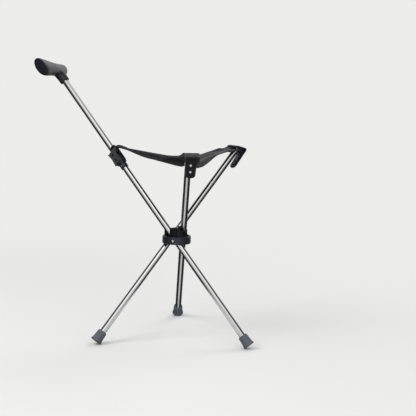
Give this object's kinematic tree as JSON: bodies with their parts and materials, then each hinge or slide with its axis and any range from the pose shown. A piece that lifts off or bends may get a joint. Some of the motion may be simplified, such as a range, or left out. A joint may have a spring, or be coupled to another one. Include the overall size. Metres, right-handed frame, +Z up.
{
  "type": "walking stick seat",
  "caption": "Walking stick that opens into a tripod seat: crossed steel legs in a moulded hub, rubber feet, a cloth seat hooked to a collar, and a moulded grip.",
  "frame": {"origin": "on the floor, under the middle of the whole part's bounding box, legs open", "axes": "+Z up; the handled leg leans in the XZ plane, its grip towards -X and its foot towards +X; +Y away from the handled leg's side of the hub"},
  "size_m": [0.608, 0.3994, 0.6955],
  "materials": {
    "steel_tube": "polished",
    "steel_hardware": "polished",
    "moulded_black": "fine grain",
    "grip": "soft matt",
    "nylon": "plain",
    "rubber_foot": "matt",
    "seat_cloth": "woven",
    "corner_piece": "matt"
  },
  "bodies": {
    "hub": {"hub_core": "moulded_black", "hub_ring": "moulded_black", "handle_pivot_rivet": "steel_hardware", "front_pivot_rivet": "steel_hardware", "rear_pivot_rivet": "steel_hardware", "seat_sling": "seat_cloth"},
    "handle_leg": {"handle_tube": "steel_tube", "handle_pivot_bush": "nylon", "handle_ferrule": "rubber_foot", "handle_foot_washer": "steel_hardware", "shaft_collar": "moulded_black", "collar_pin": "steel_hardware", "handle_grip": "grip", "grip_pin": "steel_hardware"},
    "front_leg": {"front_leg_tube": "steel_tube", "front_pivot_bush": "nylon", "front_ferrule": "rubber_foot", "front_foot_washer": "steel_hardware", "front_end_cap": "moulded_black", "front_corner_tab": "corner_piece", "front_tab_rivets": "steel_hardware"},
    "rear_leg": {"rear_leg_tube": "steel_tube", "rear_pivot_bush": "nylon", "rear_ferrule": "rubber_foot", "rear_foot_washer": "steel_hardware", "rear_end_cap": "moulded_black", "rear_corner_tab": "corner_piece", "rear_tab_rivets": "steel_hardware"},
    "seat_hook": {"corner_hook": "moulded_black", "hook_flap": "corner_piece", "flap_rivets": "steel_hardware"}
  },
  "joints": [
    {"name": "handle_leg_fold", "type": "hinge", "parent": "hub", "child": "handle_leg", "pos_m": [0.08241, -0.02439, 0.25007], "axis": [0, 1, 0], "range_deg": [0, 41.1], "deforming": ["seat_sling"]},
    {"name": "front_leg_fold", "type": "hinge", "parent": "hub", "child": "front_leg", "pos_m": [0.08729, 0.00519, 0.25007], "axis": [-0.866, -0.5, 0], "range_deg": [0, 41.1]},
    {"name": "rear_leg_fold", "type": "hinge", "parent": "hub", "child": "rear_leg", "pos_m": [0.05923, -0.00537, 0.25007], "axis": [0.866, -0.5, 0], "range_deg": [0, 41.1]},
    {"name": "seat_hook_release", "type": "slide", "parent": "handle_leg", "child": "seat_hook", "axis": [0, -1, 0], "range_m": [0, 0.03]}
  ],
  "couplings": [
    {"joint": "front_leg_fold", "follows": "handle_leg_fold", "ratio": 1},
    {"joint": "rear_leg_fold", "follows": "handle_leg_fold", "ratio": 1}
  ]
}
